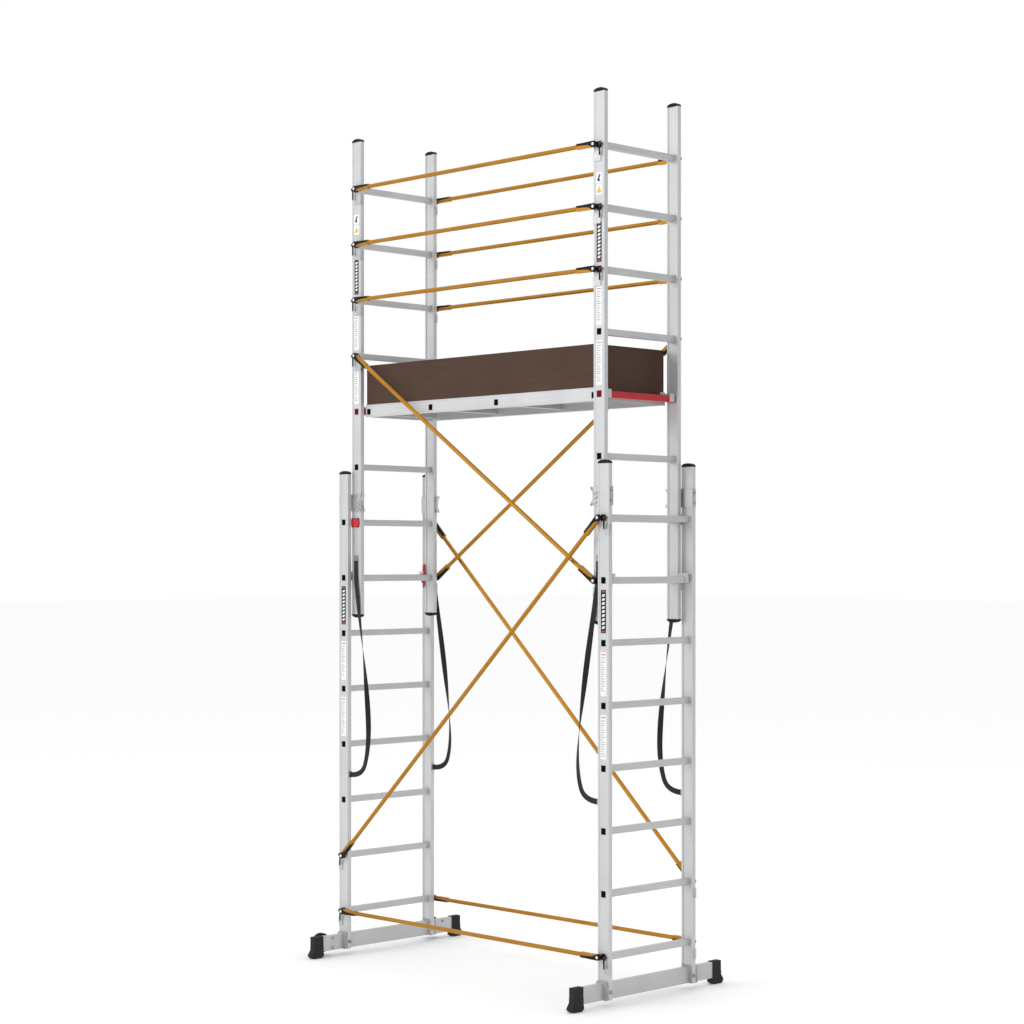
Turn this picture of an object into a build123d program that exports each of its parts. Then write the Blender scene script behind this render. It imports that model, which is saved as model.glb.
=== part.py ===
"""Mobile tower scaffold: two facing two-section ladders, joined by braces and a platform.

Millimetres, +Z up, floor at Z = 0. X runs from one ladder to the other, Y runs along the rungs.
"near" is the -Y side, "left" is the -X side. Corner pieces are drawn at +X +Y and mirrored.
"""
import os
from math import atan2, degrees

from build123d import *

os.makedirs("parts", exist_ok=True)

# Driving sizes
rung_pitch = 280
ladder_x = 903                  # middle of the lower rungs, stiles and stabiliser bars
lower_outer_y = 293             # outer faces of the lower stiles
first_rung_z = 219.5
rungs_per_section = 8
overlap_rungs = 2               # upper section reaches this many rungs below the lower one's top
section_inset = 59.3            # how far the upper section stands in from the lower one
section_gap = 11.5              # between the lower stile's inner face and the upper one's outer face
stile_depth = 68                # along X
stile_width = 23                # along Y
stile_wall = 2.2
strip_wall = 3
recess_width = 48
recess_depth = 1
channel_depth = 3
rung_size = 30
rung_wall = 2
bar_width = 26
bar_bottom = 30
bar_height = 75
bar_half_length = 490
brace_diameter = 20
wheel_radius = 50
wheel_width = 26

# Fits
slip = 0.3                      # clearance on each side of a part that is pushed into another
guide_slip = 0.5                # upper stile in its guide bracket

# Sizes that follow
upper_x = ladder_x - section_inset
lower_inner_y = lower_outer_y - stile_width
upper_outer_y = lower_inner_y - section_gap
upper_inner_y = upper_outer_y - stile_width
seat_drop = 2.5
lower_rung_z = [first_rung_z + rung_pitch * k for k in range(rungs_per_section)]
upper_first_z = lower_rung_z[-overlap_rungs] - seat_drop
upper_rung_z = [upper_first_z + rung_pitch * k for k in range(rungs_per_section)]
red_rung_z = upper_rung_z[3]
guard_rail_z = upper_rung_z[:-4:-1]
lower_stile_z = (29.5, lower_rung_z[-1] + 242.5)
upper_stile_z = (upper_rung_z[0] - 181, upper_rung_z[-1] + 239)
half_depth = stile_depth / 2
bar_top = bar_bottom + bar_height
corners = [(x, y) for x in (-1, 1) for y in (-1, 1)]


def box(x, y, z):
    """Box between the given (low, high) pairs."""
    size = [abs(b - a) for a, b in (x, y, z)]
    middle = [(a + b) / 2 for a, b in (x, y, z)]
    return Pos(*middle) * Box(*size)


def rod(start, end, radius, inner=0):
    """Round bar or tube between two points."""
    axis = Vector(*end) - Vector(*start)
    face = Circle(radius)
    if inner:
        face = face - Circle(inner)
    return extrude(Plane(origin=start, z_dir=axis) * face, amount=axis.length)


def at_corner(shape, side_x, side_y):
    """Mirror a shape drawn at +X +Y to the corner with these signs."""
    if side_x < 0:
        shape = mirror(shape, Plane.YZ)
    if side_y < 0:
        shape = mirror(shape, Plane.XZ)
    return shape


def at_all_corners(shape):
    return [at_corner(shape, x, y) for x, y in corners]


def save(name, *shapes):
    """Write one node: a single solid, or a group of separate solids."""
    solids = [solid for shape in shapes for solid in shape.solids()]
    node = solids[0] if len(solids) == 1 else Compound(children=solids)
    export_step(node, f"parts/{name}.step")


def side_name(x, y):
    return ("left" if x < 0 else "right") + "_" + ("near" if y < 0 else "far")


# Stiles, rungs, plugs and caps

def hollow_face(shrink=0):
    """Inside of the stile's section."""
    width = stile_depth - 2 * strip_wall - 2 * shrink
    height = stile_width - recess_depth - channel_depth - 2 * stile_wall - 2 * shrink
    return Pos(0, (channel_depth - recess_depth) / 2) * Rectangle(width, height)


def stile_face():
    """Hollow section with a shallow recess outside and a channel inside, outside towards +Y."""
    body = fillet(Rectangle(stile_depth, stile_width).vertices(), 1.5)
    recess = Pos(0, stile_width / 2) * Rectangle(recess_width, 2 * recess_depth)
    channel = Pos(0, -stile_width / 2) * Rectangle(recess_width, 2 * channel_depth)
    return body - recess - channel - hollow_face()


def stile(x, outer_y, span, rung_heights):
    """One stile at +X +Y, with a hole through it at each rung."""
    section = Pos(x, outer_y - stile_width / 2, span[0]) * stile_face()
    shape = extrude(section, amount=span[1] - span[0])
    hole = rung_size + 2 * slip
    for z in rung_heights:
        shape -= Pos(x, outer_y, z) * Box(hole, 4 * stile_width, hole)
    return shape


def rung(x, outer_y, z):
    """Square tube through both stiles, with a collar in each stile's inner channel."""
    tube = RectangleRounded(rung_size, rung_size, 3) - Rectangle(
        rung_size - 2 * rung_wall, rung_size - 2 * rung_wall)
    shape = extrude(Plane.XZ * tube, amount=outer_y - recess_depth, both=True)
    collar_face = RectangleRounded(36, 36, 4) - Rectangle(rung_size - 1, rung_size - 1)
    collar = extrude(Plane.XZ * collar_face, amount=channel_depth)
    inner_y = outer_y - stile_width
    shape += Pos(0, inner_y + channel_depth, 0) * collar
    shape += Pos(0, -inner_y, 0) * collar
    return Pos(x, 0, z) * shape


def rung_plug(x, outer_y, z):
    """Plug in a rung's end: its head lies flush in the stile's recess."""
    floor_y = outer_y - recess_depth
    stem = rung_size / 2 - rung_wall - slip / 2
    head = box((-13, 13), (floor_y, outer_y), (-14, 14))
    return Pos(x, 0, z) * (head + box((-stem, stem), (floor_y - 12, floor_y), (-stem, stem)))


def domed_head():
    """Cap with a rounded top, as wide as the stile."""
    head = extrude(RectangleRounded(stile_depth, stile_width, 4), amount=18)
    return fillet(head.faces().sort_by(Axis.Z)[-1].edges(), 8)


def hipped_head():
    """Cap with a straight rim, a little wider than the stile, and a hipped top above it."""
    rim = extrude(RectangleRounded(stile_depth + 2, stile_width + 2, 4), amount=7)
    top = Pos(0, 0, 19) * RectangleRounded(stile_depth * 0.55, stile_width * 0.7, 3)
    hip = loft([Pos(0, 0, 7) * RectangleRounded(stile_depth + 2, stile_width + 2, 4), top])
    return rim + hip


def stile_cap(x, outer_y, z, way, head):
    """Cap on a stile's end; way is 1 for the top and -1 for the bottom."""
    shape = head + extrude(hollow_face(slip), amount=-15)
    if way < 0:
        shape = mirror(shape, Plane.XY)
    return Pos(x, outer_y - stile_width / 2, z) * shape


def lower_stile():
    """Lower stile, with its end opened to two strips that straddle the saddle and the bar."""
    shape = stile(ladder_x, lower_outer_y, lower_stile_z, lower_rung_z)
    opening = half_depth - strip_wall
    shape -= box((ladder_x - opening, ladder_x + opening), (lower_inner_y - 1, lower_outer_y + 1),
                 (0, saddle_top))
    tip_x = (ladder_x - half_depth - 1, ladder_x + half_depth + 1)
    tip_radius = stile_width / 2
    tip_z = lower_stile_z[0] + tip_radius
    below_tips = box(tip_x, (lower_inner_y - 1, lower_outer_y + 1), (0, tip_z))
    shape -= below_tips - rod((tip_x[0], bolt_y, tip_z), (tip_x[1], bolt_y, tip_z), tip_radius)
    return shape - bolt_hole()


saddle_top = 112
bolt_y = lower_outer_y - stile_width / 2
bolt_z = 65


def bolt_hole():
    start = ladder_x - half_depth - 20
    return rod((start, bolt_y, bolt_z), (start + 2 * stile_depth, bolt_y, bolt_z), 5.3)


for side_x, side_y in corners:
    corner_name = side_name(side_x, side_y)
    save("lower_stile_" + corner_name, at_corner(lower_stile(), side_x, side_y))
    save("upper_stile_" + corner_name, at_corner(
        stile(upper_x, upper_outer_y, upper_stile_z, upper_rung_z), side_x, side_y))

for side_x, ladder in ((-1, "left"), (1, "right")):
    save(f"lower_rungs_{ladder}", *[rung(side_x * ladder_x, lower_outer_y, z) for z in lower_rung_z])
    save(f"upper_rungs_{ladder}", *[rung(side_x * upper_x, upper_outer_y, z)
                                    for z in upper_rung_z if z != red_rung_z])
save("red_rungs", rung(-upper_x, upper_outer_y, red_rung_z), rung(upper_x, upper_outer_y, red_rung_z))
save("lower_rung_plugs", *[plug for z in lower_rung_z
                           for plug in at_all_corners(rung_plug(ladder_x, lower_outer_y, z))])
save("red_rung_plugs", *at_all_corners(rung_plug(upper_x, upper_outer_y, red_rung_z)))
save("lower_stile_caps", *at_all_corners(
    stile_cap(ladder_x, lower_outer_y, lower_stile_z[1], 1, hipped_head())))
save("upper_stile_caps", *[
    cap for z, way in ((upper_stile_z[1], 1), (upper_stile_z[0], -1))
    for cap in at_all_corners(stile_cap(upper_x, upper_outer_y, z, way, domed_head()))])

# Stabiliser bars, saddles and foot caps

foot_inner_y = 436


def stabiliser_bar():
    wall = 2.5
    section = RectangleRounded(bar_width, bar_height, 2) - Rectangle(
        bar_width - 2 * wall, bar_height - 2 * wall)
    shape = extrude(Plane.XZ * section, amount=bar_half_length, both=True)
    shape = Pos(ladder_x, 0, bar_bottom + bar_height / 2) * shape
    return shape - bolt_hole() - mirror(bolt_hole(), Plane.XZ)


def saddle():
    """Insert between the stile's two strips, sitting over the bar."""
    half = half_depth - strip_wall - slip
    slot = bar_width / 2 + slip
    shape = box((ladder_x - half, ladder_x + half), (lower_inner_y - 2, lower_outer_y + 16),
                (bar_bottom, saddle_top))
    top_edges = shape.edges().filter_by(Axis.X).group_by(Axis.Z)[-1]
    shape = fillet(top_edges.sort_by(Axis.Y)[-1], 12)
    shape -= box((ladder_x - slot, ladder_x + slot), (0, 400), (0, bar_top + slip))
    return shape - bolt_hole()


def foot_cap():
    """Rubber shoe on the bar's end, with a rocker sole."""
    sole = BuildSketch(Plane.YZ)
    with sole:
        with BuildLine():
            Polyline((foot_inner_y, 60), (foot_inner_y, 28), (foot_inner_y - 4, 14))
            ThreePointArc((foot_inner_y - 4, 14), (443, 4), (458, 0))
            Line((458, 0), (486, 0))
            ThreePointArc((486, 0), (502, 5), (512, 17))
            Polyline((512, 17), (495, 42), (495, 60), (foot_inner_y, 60))
        make_face()
    shape = extrude(sole.sketch, amount=17, both=True)
    shape += box((-15.5, 15.5), (foot_inner_y, 495), (50, 108))
    slot = bar_width / 2 + slip
    shape -= box((-slot, slot), (0, bar_half_length + slip), (bar_bottom - slip, bar_top + slip))
    return Pos(ladder_x, 0, 0) * shape


bar_right = stabiliser_bar()

# Wheels, on the left bar's outer side, clear of the floor until the tower is tilted

bar_face_x = -(ladder_x + bar_width / 2)
plate_x = bar_face_x - 4
wheel_inner_x = -(ladder_x + half_depth) - 4
wheel_outer_x = wheel_inner_x - wheel_width
wheel_z = 62
wheel_bolt_offset = 25          # from the wheel's axle to its bracket's bolts, along +Y
wheel_bolt_z = (44, 91)
wheel_places = (("near", -400), ("far", 345))


def wheel_bracket(y):
    """Plate on the bar, with a boss that carries the axle."""
    low_y = y - 18
    plate = box((plate_x, bar_face_x), (low_y, y + wheel_bolt_offset + 12), (34, 101))
    boss = rod((plate_x, y, wheel_z), (wheel_inner_x + slip, y, wheel_z), 11)
    shape = plate + boss
    shape -= rod((bar_face_x, y, wheel_z), (wheel_inner_x, y, wheel_z), 5.05)
    for z in wheel_bolt_z:
        bolt = y + wheel_bolt_offset
        shape -= rod((plate_x, bolt, z), (bar_face_x, bolt, z), 4.2)
    return shape


def axle(y):
    """Axle screw, with a flat head outside the wheel."""
    head_x = wheel_outer_x - slip
    shaft = rod((bar_face_x, y, wheel_z), (head_x, y, wheel_z), 5)
    return shaft + rod((head_x, y, wheel_z), (head_x - 5, y, wheel_z), 9)


def wheel_hub(y):
    inner, outer = wheel_inner_x - 1, wheel_outer_x + 1
    shape = rod((inner, y, wheel_z), (outer, y, wheel_z), wheel_radius - 10)
    shape -= rod((inner, y, wheel_z), (inner - 6, y, wheel_z), wheel_radius - 16, 12)
    shape -= rod((outer, y, wheel_z), (outer + 6, y, wheel_z), wheel_radius - 16, 12)
    shape += rod((wheel_inner_x, y, wheel_z), (wheel_outer_x, y, wheel_z), 9)
    return shape - rod((wheel_inner_x + 1, y, wheel_z), (wheel_outer_x - 1, y, wheel_z), 5 + slip)


def wheel_tyre(y):
    ring = rod((wheel_inner_x, y, wheel_z), (wheel_outer_x, y, wheel_z), wheel_radius)
    rims = ring.edges().filter_by(GeomType.CIRCLE)
    ring = fillet(rims, 4)
    return ring - rod((wheel_inner_x + 1, y, wheel_z), (wheel_outer_x - 1, y, wheel_z),
                      wheel_radius - 10)


bar_left = mirror(bar_right, Plane.YZ)
wheel_bolts = []
for place, wheel_y in wheel_places:
    for bolt_height in wheel_bolt_z:
        centre = wheel_y + wheel_bolt_offset
        inside_x = -(ladder_x - bar_width / 2)
        bar_left -= rod((inside_x, centre, bolt_height), (bar_face_x, centre, bolt_height), 4.2)
        shaft = rod((plate_x - 4, centre, bolt_height), (inside_x + 5, centre, bolt_height), 4)
        shaft += rod((inside_x, centre, bolt_height), (inside_x + 5, centre, bolt_height), 6.5)
        wheel_bolts.append(shaft + rod((plate_x, centre, bolt_height),
                                       (plate_x - 4, centre, bolt_height), 6.5))
    save(f"wheel_hub_{place}", wheel_hub(wheel_y))
    save(f"wheel_tyre_{place}", wheel_tyre(wheel_y))

save("stabiliser_bar_left", bar_left)
save("stabiliser_bar_right", bar_right)
save("stabiliser_saddles", *at_all_corners(saddle()))
save("foot_caps", *at_all_corners(foot_cap()))
save("wheel_brackets", *[wheel_bracket(y) for _, y in wheel_places])

# Guide brackets, on the lower stiles' tops, that hold the upper stiles

guide_z = (lower_rung_z[-1] + 55.5, lower_rung_z[-1] + 140.5)
guide_sheet = 3


def guide_bracket():
    """Bent sheet on the lower stile's outer edge, passing behind it and over the upper stile's face."""
    outer_edge = ladder_x + half_depth
    inner_edge = ladder_x - half_depth
    upper_edge = upper_x - half_depth - guide_slip
    track_y = upper_outer_y + guide_slip
    t = guide_sheet
    shape = box((outer_edge, outer_edge + t), (lower_inner_y - t, lower_outer_y - 2), guide_z)
    shape += box((inner_edge - t, outer_edge + t), (lower_inner_y - t, lower_inner_y), guide_z)
    shape += box((inner_edge - t, inner_edge), (track_y, lower_inner_y), guide_z)
    shape += box((upper_edge - t, inner_edge), (track_y, track_y + t), guide_z)
    shape += box((upper_edge - t, upper_edge), (track_y - 13, track_y + t), guide_z)
    for low_z, high_z in (guide_z, guide_z[::-1]):
        shape += guide_lip(upper_edge, low_z, 1 if high_z > low_z else -1, track_y + t)
    for z in guide_bolt_z:
        shape -= rod((outer_edge - 5, bolt_y, z), (outer_edge + 5, bolt_y, z), 3.2)
    return shape


def guide_lip(edge, end_z, way, face_y):
    """Flared lip at one end of the bracket's inner flange; way points from that end to the middle."""
    flare = [(edge, 28), (edge - 16, 0), (edge - 20, 0), (edge - guide_sheet, 30)]
    lip = make_face(Polyline([(x, end_z + way * z) for x, z in flare], close=True))
    return Pos(0, face_y, 0) * extrude(Plane.XZ * lip, amount=16)


guide_bolt_z = (guide_z[0] + 20, guide_z[1] - 20)


def guide_bolt(z):
    """Short screw that holds the guide bracket on the stile's outer edge."""
    edge = ladder_x + half_depth
    sheet = edge + guide_sheet
    return rod((edge, bolt_y, z), (sheet, bolt_y, z), 3) + rod(
        (sheet, bolt_y, z), (sheet + 3, bolt_y, z), 6)


def saddle_bolt():
    """Bolt and nut across a stile's end; the head is on the tower's outer side."""
    outside = ladder_x + half_depth
    inside = ladder_x - half_depth
    hexagon = Plane(origin=(outside, bolt_y, bolt_z), z_dir=(1, 0, 0)) * RegularPolygon(9.2, 6)
    bolt = rod((inside - 11, bolt_y, bolt_z), (outside, bolt_y, bolt_z), 5)
    bolt += extrude(hexagon, amount=6.4)
    nut_face = Plane(origin=(inside, bolt_y, bolt_z), z_dir=(-1, 0, 0)) * (
        RegularPolygon(9.2, 6) - Circle(5.05))
    return [bolt, extrude(nut_face, amount=8)]


save("guide_brackets", *at_all_corners(guide_bracket()))
save("lower_bolts",
     *[part for piece in saddle_bolt() for part in at_all_corners(piece)],
     *[part for z in guide_bolt_z for part in at_all_corners(guide_bolt(z))],
     *wheel_bolts, *[axle(y) for _, y in wheel_places])

# Braces: a tube with an orange channel at each end, a latch body, a claw, and a stud on the stile

stud_offset = 18.5              # from the rung's middle to the stud, away from the other ladder
rivet_offset = -12              # from the rung's middle to the rivet, towards the other ladder
brace_depth = 18                # from the stile's outer face to the tube's middle
channel_start = -14             # the channel runs between these, measured from the rivet
channel_end = -104


def end_frame(x, outer_y, z, side_x, side_y, slope=0):
    """Frame of a brace's end: x points out past the stile, z away from the stile's face.

    slope is the brace's fall, in degrees, from the stile towards the tower's middle.
    """
    lean = Rot(0, slope * side_x, 0)
    direction = lean * Pos(side_x, 0, 0)
    return Plane(origin=(side_x * x, side_y * outer_y, z), x_dir=direction.position,
                 z_dir=(0, side_y, 0))


def channel(frame, strip_way):
    """Orange channel, closed by a plate at the tube's end; frame is at the rivet."""
    low, high = sorted((-12 * strip_way, 2.7 * strip_way))
    shell = box((channel_end, channel_start), (low, high), (9, 27))
    shell -= box((channel_end, channel_start), (low + 2, high - 2), (11, 25))
    low, high = sorted((-12 * strip_way, 13 * strip_way))
    shell += box((channel_end - 3, channel_end), (low, high), (9, 27))
    return frame * shell


def latch_body(frame, strip_way):
    """Black strip along the channel, ending in a nose round the rivet."""
    low, high = sorted((3 * strip_way, 13 * strip_way))
    shape = box((channel_end + slip, 0), (low, high), (13.5, 27))
    shape += rod((0, 0, 13.5), (0, 0, 27), 11)
    return frame * (shape - rod((0, 0, 13), (0, 0, 28), 4.1))


def claw(frame):
    """Forked claw that grips the stud, with the release strip that hangs from it."""
    shape = rod((rivet_offset, 0, 8), (rivet_offset, 0, 13), 10)
    shape += box((rivet_offset, stud_offset + 4.8), (-8.5, 8.5), (8, 13))
    shape -= rod((stud_offset, 0, 8), (stud_offset, 0, 13), 3.8)
    shape -= box((stud_offset, stud_offset + 5), (-3.8, 3.8), (8, 13))
    shape -= rod((rivet_offset, 0, 8), (rivet_offset, 0, 13), 4.1)
    down = -1 if frame.y_dir.Z > 0 else 1
    strip = box((stud_offset - 8, stud_offset), sorted((7 * down, 52 * down)), (11, 13))
    return frame * (shape + strip)


def brace_pins(frame):
    """Stud on the stile with its flat head, and the rivet through nose and claw."""
    stud = rod((stud_offset, 0, -recess_depth), (stud_offset, 0, 16), 3.5)
    stud += rod((stud_offset, 0, 13.5), (stud_offset, 0, 16), 6)
    rivet = rod((rivet_offset, 0, 7), (rivet_offset, 0, 28), 4)
    rivet += rod((rivet_offset, 0, 27.2), (rivet_offset, 0, 30), 7)
    rivet += rod((rivet_offset, 0, 6), (rivet_offset, 0, 7.8), 6)
    return [frame * stud, frame * rivet]


def brace_bracket(frame, edge):
    """Silver tab bent round one edge of the stile; edge is 1 for the outer edge, -1 for the inner."""
    down = -1 if frame.y_dir.Z > 0 else 1
    heights = sorted((30 * down, 75 * down))
    end = half_depth * edge
    reach = -12 if edge < 0 else 6
    face = box(sorted((reach * -1 if edge < 0 else reach, end + 2.5 * edge)), heights, (0, 2.5))
    return frame * (face + box(sorted((end, end + 2.5 * edge)), heights, (-14, 2.5)))


def brace_set(x, outer_y, edge, left_z, right_z, side_y, strip_ways):
    """All the pieces of one brace between the left and right ladders, sorted by kind."""
    rivet_x = x + rivet_offset
    slope = degrees(atan2(right_z - left_z, 2 * rivet_x))
    pieces = {"tube": [], "latch": [], "claw": [], "pins": [], "bracket": []}
    ends = []
    for side_x, z, strip_way in ((-1, left_z, strip_ways[0]), (1, right_z, strip_ways[1])):
        frame = end_frame(rivet_x, outer_y, z, side_x, side_y, -slope * side_x)
        level = end_frame(x, outer_y, z, side_x, side_y)
        way = strip_way if frame.y_dir.Z > 0 else -strip_way
        ends.append((frame * Pos(channel_end - 1, 0, brace_depth)).position)
        pieces["tube"].append(channel(frame, way))
        pieces["latch"].append(latch_body(frame, way))
        pieces["claw"].append(claw(level))
        pieces["pins"] += brace_pins(level)
        pieces["bracket"].append(brace_bracket(level, edge))
    radius = brace_diameter / 2
    tube = rod(tuple(ends[0]), tuple(ends[1]), radius, radius - 2)
    pieces["tube"] = [tube + pieces["tube"][0] + pieces["tube"][1]]
    return pieces


def lower_brace(left_z, right_z, side_y, strips=(-1, -1)):
    return brace_set(ladder_x, lower_outer_y, 1, left_z, right_z, side_y, strips)


def upper_brace(left_z, right_z, side_y, strips=(-1, -1)):
    return brace_set(upper_x, upper_outer_y, -1, left_z, right_z, side_y, strips)


lower_diagonal_z = (lower_rung_z[1], lower_rung_z[-1])
upper_diagonal_z = (upper_rung_z[4], upper_rung_z[0])
lower_diagonals = [lower_brace(*lower_diagonal_z, -1, (-1, 1)),
                   lower_brace(*lower_diagonal_z[::-1], 1, (1, -1))]
lower_horizontals = [lower_brace(first_rung_z, first_rung_z, y) for y in (-1, 1)]
upper_diagonals = [upper_brace(*upper_diagonal_z, -1), upper_brace(*upper_diagonal_z[::-1], 1)]
rails_near, rails_far = [[upper_brace(z, z, y, (1, 1)) for z in guard_rail_z] for y in (-1, 1)]

brace_groups = {"lower_diagonals": lower_diagonals, "lower_horizontals": lower_horizontals,
                "upper_diagonals": upper_diagonals,
                "guard_rails_near": rails_near, "guard_rails_far": rails_far}
for group_name, group in brace_groups.items():
    save(group_name, *[tube for brace in group for tube in brace["tube"]])
for section, braces in (("lower", lower_diagonals + lower_horizontals),
                        ("upper", upper_diagonals + rails_near + rails_far)):
    for kind, node in (("latch", "latch_bodies"), ("claw", "brace_claws"), ("pins", "brace_pins"),
                       ("bracket", "brace_brackets")):
        save(f"{section}_{node}", *[piece for brace in braces for piece in brace[kind]])

# Platform: rails, cross tubes, deck with a hatch, end frames with hooks, toe boards

platform_half_width = 231.5
platform_half_length = 800
platform_z = (red_rung_z - 28, red_rung_z + 33)
rail_width = 25.5
rail_inner_y = platform_half_width - rail_width
cross_tube_x = (-778, -315, 147, 785)
cross_tube_z = platform_z[0] + 26
cross_width = 25
cross_height = 28
deck_bottom = cross_tube_z + cross_height / 2
deck_thickness = 10
deck_top = deck_bottom + deck_thickness
deck_half_length = 772.5
deck_half_width = rail_inner_y - 0.5
hatch_far_y = 191
hatch_hinge_y = hatch_far_y + 1
hatch_hinge_z = deck_top + 2.8
board_thickness = 19.5
board_height = 197


def platform_rail():
    """Box rail along X at +Y, with a ledge under the deck's edge and holes for the cross tubes."""
    span = (-platform_half_length, platform_half_length)
    z_low, z_high = platform_z
    shape = box(span, (rail_inner_y, platform_half_width), platform_z)
    shape -= box(span, (rail_inner_y + 2, platform_half_width - 2), (z_low + 2, z_high - 2))
    shape += box((-deck_half_length, deck_half_length), (rail_inner_y - 12, rail_inner_y),
                 (deck_bottom - 2.5, deck_bottom))
    for x in cross_tube_x:
        shape -= Pos(x, rail_inner_y, cross_tube_z) * Box(
            cross_width + 2 * slip, 4 * rail_width, cross_height + 2 * slip)
        shape -= box((x - cross_width / 2 - slip, x + cross_width / 2 + slip),
                     (rail_inner_y - 13, rail_inner_y), (deck_bottom - 3, deck_bottom + 0.01))
    return shape


def cross_tube(x):
    section = RectangleRounded(cross_width, cross_height, 2) - Rectangle(
        cross_width - 4, cross_height - 4)
    shape = extrude(Plane.XZ * section, amount=platform_half_width, both=True)
    return Pos(x, 0, cross_tube_z) * shape


def cross_plug(x):
    stem = cross_width / 2 - 2 - slip / 2
    stem_z = cross_height / 2 - 2 - slip / 2
    end_y = platform_half_width
    head = box((-cross_width / 2, cross_width / 2), (end_y, end_y + 1.2), (-14, 14))
    return Pos(x, 0, cross_tube_z) * (
        head + box((-stem, stem), (end_y - 12, end_y), (-stem_z, stem_z)))


def deck_panel():
    """Plywood deck, open on the right for the hatch."""
    shape = box((-deck_half_length, deck_half_length), (-deck_half_width, deck_half_width),
                (deck_bottom, deck_top))
    return shape - box((cross_tube_x[2], deck_half_length + 1), (-deck_half_width - 1, hatch_far_y + 0.5),
                       (deck_bottom - 1, deck_top + 1))


def deck_hatch():
    shape = box((cross_tube_x[2] + 2, deck_half_length - 2), (-deck_half_width, hatch_far_y - 0.5),
                (deck_bottom, deck_top))
    grip = Pos(460, -150, deck_bottom) * Box(90, 30, 40)
    shape -= fillet(grip.edges().filter_by(Axis.Z), 14)
    for span in hinge_spans:
        shape += hatch_knuckle(span)
    return shape


hinge_spans = ((220, 280), (640, 700))
hinge_pin_radius = 1.2


def hinge_knuckles(spans, leaf_way):
    """Leaf with knuckles round the hatch's hinge line; leaf_way is 1 on the deck, -1 on the hatch."""
    leaf_end = hatch_hinge_y + 13 if leaf_way > 0 else hatch_hinge_y - 28
    whole = (min(low for low, _ in spans), max(high for _, high in spans))
    leaf_root = hatch_hinge_y + 3.2 * leaf_way
    shape = box(whole, sorted((leaf_root, leaf_end)), (deck_top, deck_top + 1.5))
    for low, high in spans:
        shape += box((low, high), sorted((hatch_hinge_y, leaf_root)), (deck_top, deck_top + 1.5))
        shape += rod((low, hatch_hinge_y, hatch_hinge_z), (high, hatch_hinge_y, hatch_hinge_z), 2.6)
    return shape


def hatch_hinge(span):
    """Deck side of a hinge, with its pin."""
    third = (span[1] - span[0]) / 3
    outer = [(span[0], span[0] + third), (span[1] - third, span[1])]
    shape = hinge_knuckles(outer, 1)
    return shape + rod((span[0], hatch_hinge_y, hatch_hinge_z), (span[1], hatch_hinge_y, hatch_hinge_z),
                       hinge_pin_radius)


def hatch_knuckle(span):
    """Hatch side of a hinge, fixed to the hatch."""
    third = (span[1] - span[0]) / 3
    shape = hinge_knuckles([(span[0] + third + slip, span[1] - third - slip)], -1)
    return shape - rod((span[0], hatch_hinge_y, hatch_hinge_z), (span[1], hatch_hinge_y, hatch_hinge_z),
                       hinge_pin_radius + slip)


def platform_end():
    """End frame at +X: a cross strip and two hooks over the red rung."""
    plate_x = (platform_half_length, platform_half_length + 4)
    rung_top = red_rung_z + rung_size / 2 + slip
    rung_back = upper_x + rung_size / 2 + slip
    shape = box(plate_x, (-229, 229), (platform_z[0], platform_z[0] + 22))
    for way in (-1, 1):
        hook_y = sorted((198 * way, 229 * way))
        shape += box(plate_x, hook_y, platform_z)
        shape += box((plate_x[0], rung_back + 5.5), hook_y, (rung_top, rung_top + 8))
        shape += box((rung_back, rung_back + 5.5), hook_y, (rung_top - 31, rung_top + 8))
    return shape


def side_board():
    """Toe board along one side, standing on the rail."""
    return box((-793, 793), (platform_half_width - board_thickness, platform_half_width),
               (platform_z[1], platform_z[1] + board_height))


def end_board():
    """Toe board across one end, standing on the end cross tube."""
    x = (793 - board_thickness, 793)
    top = platform_z[1] + board_height
    tongue = platform_half_width - board_thickness - slip
    shape = box(x, (-deck_half_width, deck_half_width), (deck_bottom, top))
    return shape + box(x, (-tongue, tongue), (platform_z[1] + slip, top))


rail = platform_rail()
save("platform_rails", rail, mirror(rail, Plane.XZ))
save("platform_cross_tubes", *[cross_tube(x) for x in cross_tube_x])
save("deck_panel", deck_panel())
save("deck_hatch", deck_hatch())
save("hatch_hinges", *[hatch_hinge(span) for span in hinge_spans])
save("platform_hooks", platform_end(), mirror(platform_end(), Plane.YZ))
save("toe_boards", side_board(), mirror(side_board(), Plane.XZ), end_board(),
     mirror(end_board(), Plane.YZ))

# Rung hooks, lock levers and lock knobs on the upper section

hook_y = (238, 256)
hook_x = upper_x + half_depth
lever_y = (228, 234)
lever_x = hook_x + 5.5
lever_z = lower_rung_z[-2] + 24.5
hook_rung_z = lower_rung_z[-overlap_rungs]
knob_z = upper_rung_z[1]


def rung_hook(with_pin):
    """Hook on the upper stile's edge, resting over the lower rung."""
    rung_top = hook_rung_z + rung_size / 2 + slip
    rung_back = ladder_x + rung_size / 2 + slip
    shape = box((hook_x, hook_x + 4), hook_y, (hook_rung_z - 50, rung_top + 15))
    shape += box((hook_x, rung_back + 7), hook_y, (rung_top, rung_top + 15))
    shape += box((rung_back, rung_back + 7), hook_y, (rung_top - 30, rung_top + 15))
    if with_pin:
        shape += rod((lever_x, lever_y[0] - slip, lever_z), (lever_x, hook_y[0], lever_z), 2.5)
        shape += rod((lever_x, lever_y[0] - 2.8, lever_z), (lever_x, lever_y[0] - slip, lever_z), 4.5)
    return shape


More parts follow.
